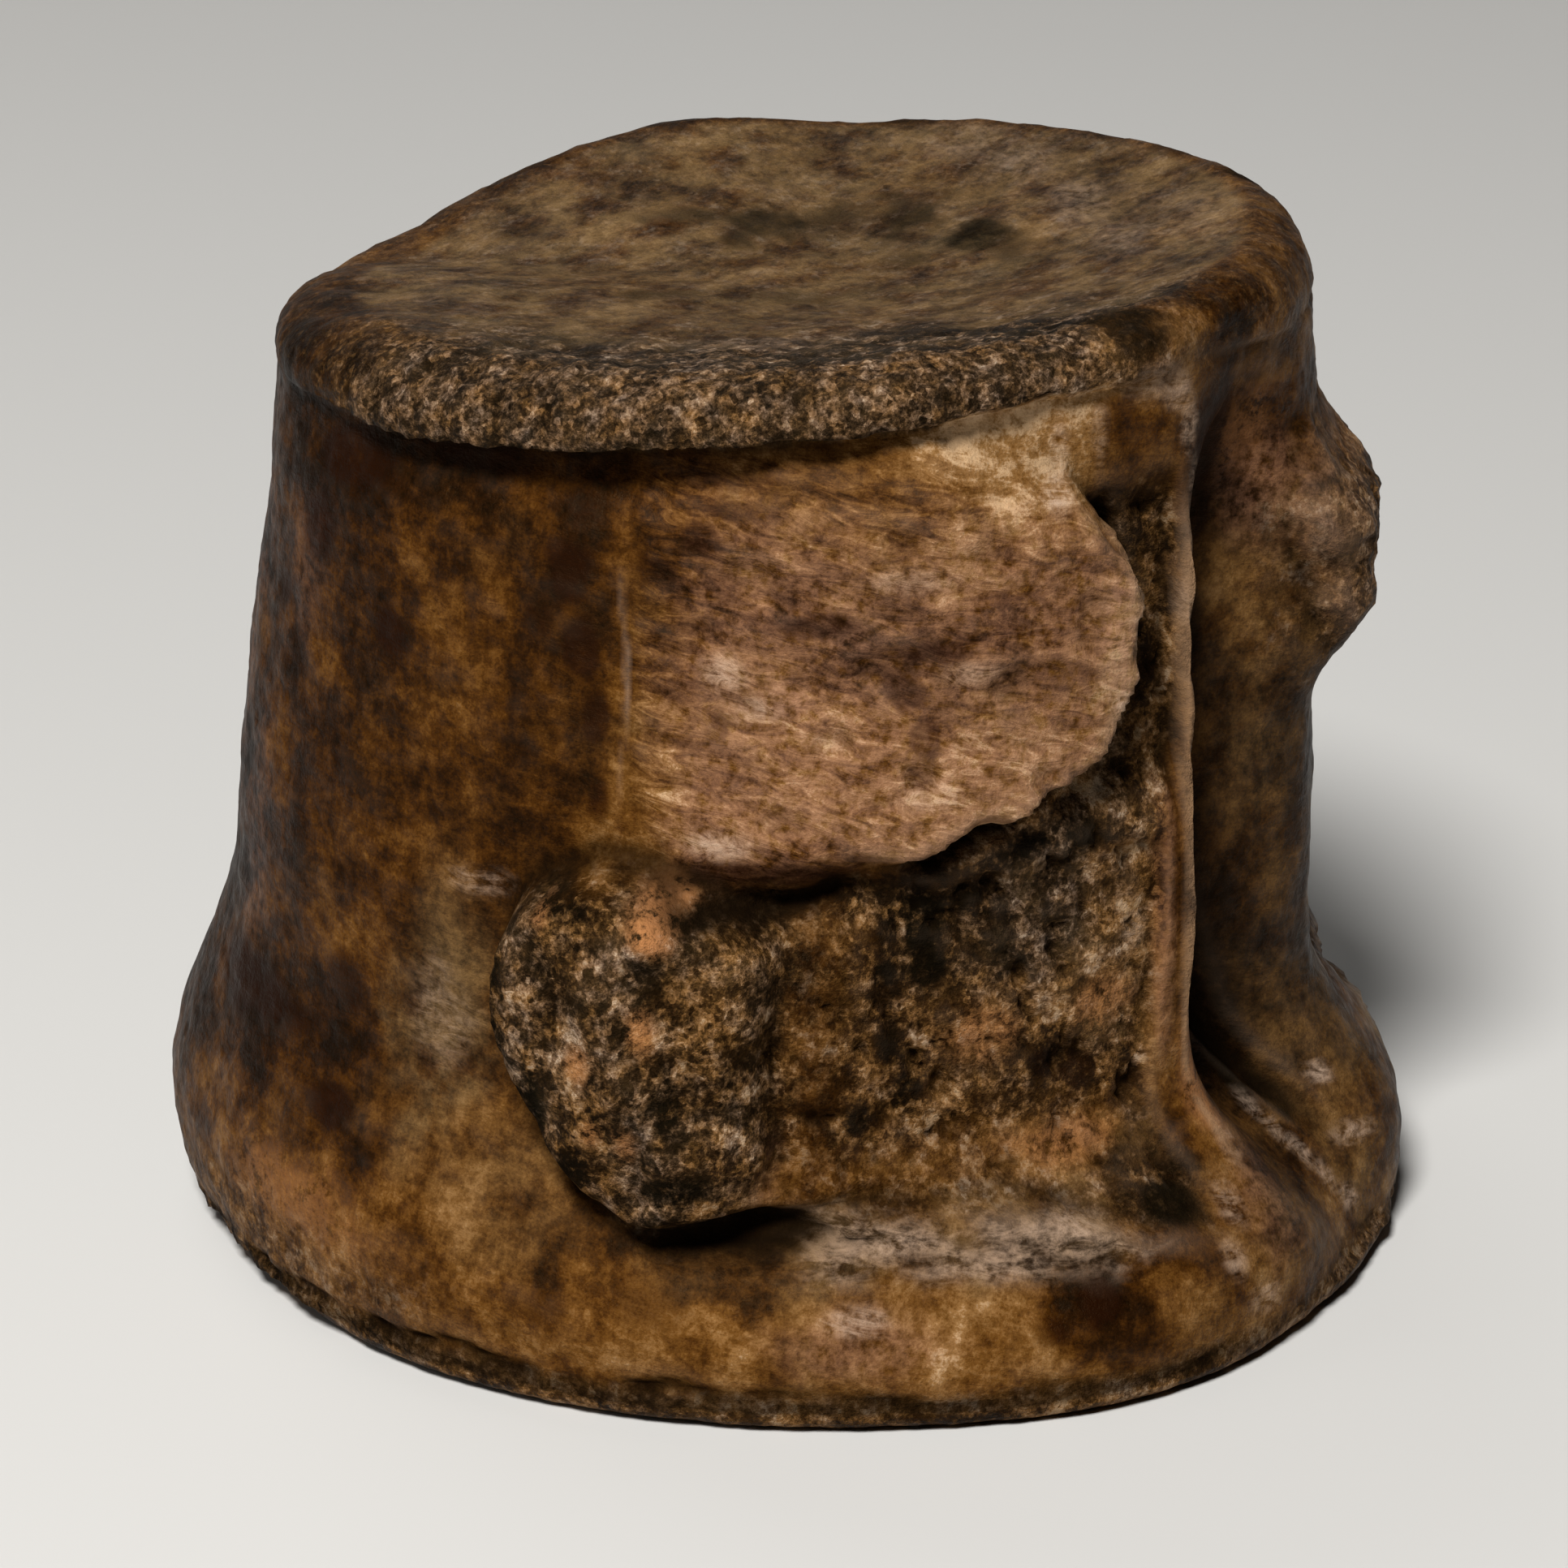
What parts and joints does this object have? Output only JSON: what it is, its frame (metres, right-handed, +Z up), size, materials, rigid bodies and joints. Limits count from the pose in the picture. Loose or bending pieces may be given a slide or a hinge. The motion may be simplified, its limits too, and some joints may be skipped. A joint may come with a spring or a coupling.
{
  "type": "fossil vertebra",
  "caption": "Drum-shaped fossil vertebra body with dished ends, a flared base, a canal groove and rough bosses where arch and ribs joined.",
  "frame": {"origin": "centre of the wider end face, which it rests on, at the middle of the outline seen from above", "axes": "+Z up along the backbone's line, -Y towards the back of the animal, where the groove of the spinal canal is, +X towards the animal's one side"},
  "size_m": [0.0303, 0.0311, 0.0255],
  "materials": {
    "fossil_bone": "mineralised bone, mottled amber, tan and dark brown, satin on the worn faces and grainy where spongy bone is broken open"
  },
  "bodies": {
    "root": {"centrum": "fossil_bone"}
  },
  "joints": []
}
